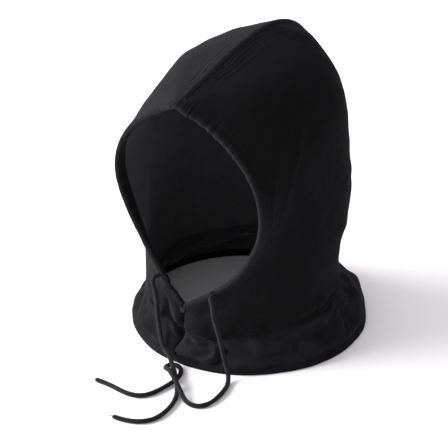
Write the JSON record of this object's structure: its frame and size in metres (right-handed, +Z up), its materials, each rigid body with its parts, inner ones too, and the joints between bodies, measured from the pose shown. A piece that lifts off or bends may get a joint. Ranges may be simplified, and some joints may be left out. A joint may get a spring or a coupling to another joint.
{
  "type": "balaclava",
  "caption": "Soft hooded balaclava with a crown seam, wide drawcord face opening, two free cord tails and a flared neck cape that it stands on.",
  "frame": {"origin": "centre of the cape's footprint, on the surface that it stands on", "axes": "+Z up, the face opening looks towards -Y, +X is the wearer's left"},
  "size_m": [0.272, 0.4083, 0.3574],
  "materials": {
    "cloth_outer": "matte",
    "lining": "matte",
    "seam": "matte",
    "cord": "matte",
    "thread_end": "matte",
    "stitching": "matte"
  },
  "bodies": {
    "root": {"shell_left": "cloth_outer", "shell_right": "cloth_outer", "lining_left": "lining", "lining_right": "lining", "crown_seam": "seam", "casing_left": "cloth_outer", "casing_right": "cloth_outer", "drawcord_inner": "cord", "eyelet_left": "stitching", "eyelet_right": "stitching", "chin_bartack": "stitching", "neck_seam_tape": "seam", "cape_left": "cloth_outer", "cape_right": "cloth_outer", "cape_hem": "cloth_outer"},
    "tail_left": {"drawcord_tail_left": "cord", "cord_end_left": "thread_end"},
    "tail_right": {"drawcord_tail_right": "cord", "cord_end_right": "thread_end"}
  },
  "joints": [
    {"name": "tail_left_swing", "type": "hinge", "parent": "root", "child": "tail_left", "pos_m": [0, -0.12197, 0.09155], "axis": [-1, 0, 0], "range_deg": [0, 50]},
    {"name": "tail_right_swing", "type": "hinge", "parent": "root", "child": "tail_right", "pos_m": [0, -0.12197, 0.09155], "axis": [-1, 0, 0], "range_deg": [0, 50]}
  ],
  "couplings": [
    {"joint": "tail_right_swing", "follows": "tail_left_swing", "ratio": 1}
  ]
}
